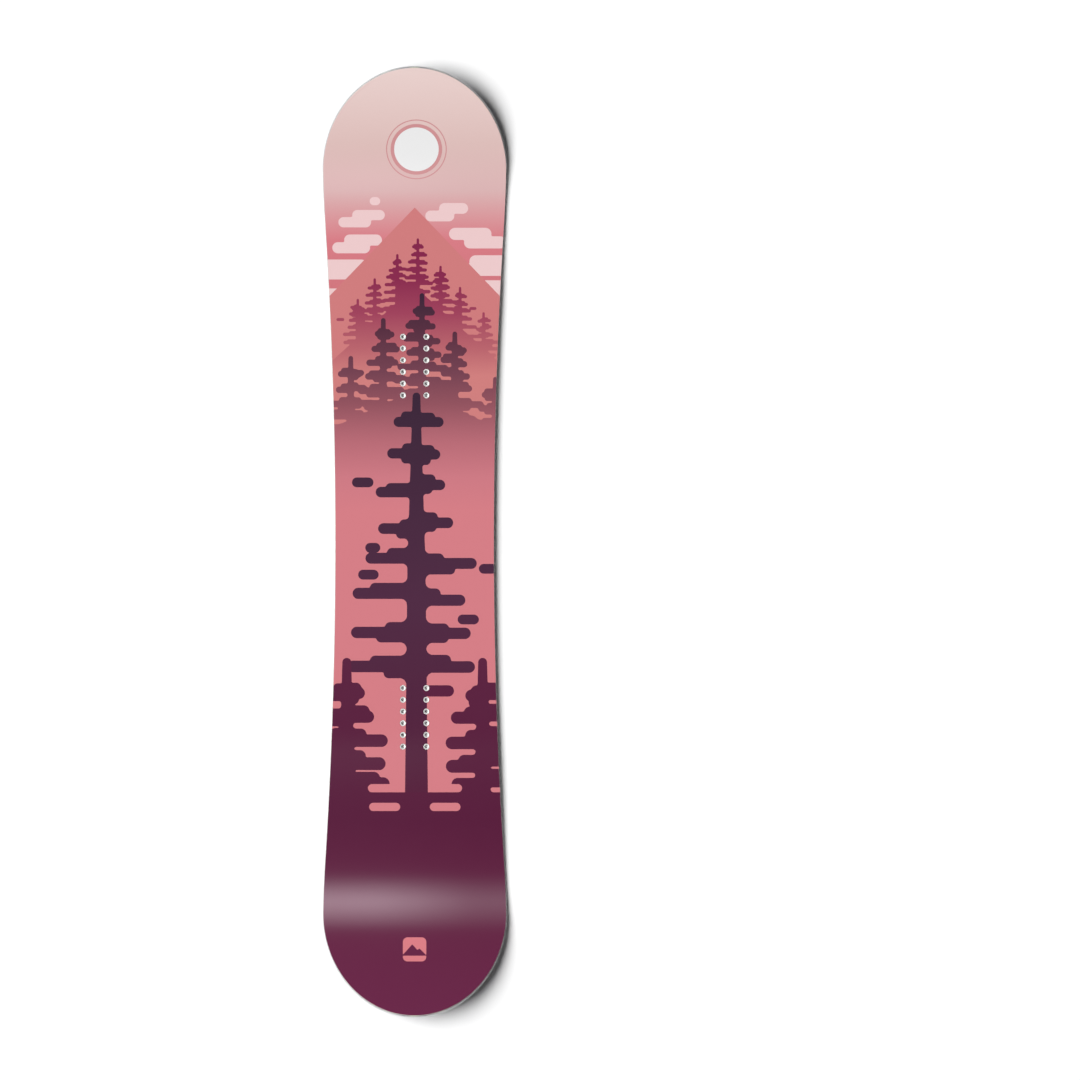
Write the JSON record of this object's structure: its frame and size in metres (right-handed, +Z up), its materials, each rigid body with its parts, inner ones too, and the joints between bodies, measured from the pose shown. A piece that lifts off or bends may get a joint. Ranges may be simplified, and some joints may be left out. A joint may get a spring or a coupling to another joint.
{
  "type": "snowboard deck",
  "caption": "Flat twin-tip snowboard deck, kicked up at both ends, with steel edges, a laminated wood core and threaded inserts for bindings.",
  "frame": {"origin": "on the ground under the middle of the board, where the flat base's centre rests", "axes": "+Z up out of the topsheet, +Y along the board towards the nose, +X across it towards the toe side of a regular-stance rider"},
  "size_m": [0.3158, 1.62, 0.0546],
  "materials": {
    "topsheet_print": "satin printed plastic film, forest artwork in plum and salmon",
    "base_plastic": "stone-ground sintered polyethylene, printed navy with coloured strokes",
    "edge_steel": "ground hardened steel",
    "insert_steel": "bright turned stainless steel",
    "sidewall_plastic": "milled light grey ABS, fine grinding lines along the board",
    "tip_plastic": "milled light grey ABS",
    "glass_laminate": "epoxy over woven glass fibre, slightly clear",
    "rubber_foil": "thin damping rubber",
    "poplar_wood": "planed, grain along the board",
    "beech_wood": "planed, grain along the board"
  },
  "bodies": {
    "root": {"base_sheet": "base_plastic", "lower_fibreglass": "glass_laminate", "steel_edge_toe": "edge_steel", "steel_edge_heel": "edge_steel", "rubber_foil_toe": "rubber_foil", "rubber_foil_heel": "rubber_foil", "core_strip_middle": "poplar_wood", "core_strip_toe_1": "beech_wood", "core_strip_toe_2": "poplar_wood", "core_strip_toe_3": "beech_wood", "core_strip_toe_4": "poplar_wood", "core_strip_toe_5": "beech_wood", "core_strip_toe_6": "poplar_wood", "sidewall_toe": "sidewall_plastic", "core_strip_heel_1": "beech_wood", "core_strip_heel_2": "poplar_wood", "core_strip_heel_3": "beech_wood", "core_strip_heel_4": "poplar_wood", "core_strip_heel_5": "beech_wood", "core_strip_heel_6": "poplar_wood", "sidewall_heel": "sidewall_plastic", "nose_spacer": "tip_plastic", "tail_spacer": "tip_plastic", "upper_fibreglass": "glass_laminate", "topsheet": "topsheet_print", "insert_front_toe_1": "insert_steel", "insert_front_toe_2": "insert_steel", "insert_front_toe_3": "insert_steel", "insert_front_toe_4": "insert_steel", "insert_front_toe_5": "insert_steel", "insert_front_toe_6": "insert_steel", "insert_front_heel_1": "insert_steel", "insert_front_heel_2": "insert_steel", "insert_front_heel_3": "insert_steel", "insert_front_heel_4": "insert_steel", "insert_front_heel_5": "insert_steel", "insert_front_heel_6": "insert_steel", "insert_rear_toe_1": "insert_steel", "insert_rear_toe_2": "insert_steel", "insert_rear_toe_3": "insert_steel", "insert_rear_toe_4": "insert_steel", "insert_rear_toe_5": "insert_steel", "insert_rear_toe_6": "insert_steel", "insert_rear_heel_1": "insert_steel", "insert_rear_heel_2": "insert_steel", "insert_rear_heel_3": "insert_steel", "insert_rear_heel_4": "insert_steel", "insert_rear_heel_5": "insert_steel", "insert_rear_heel_6": "insert_steel"}
  },
  "joints": []
}
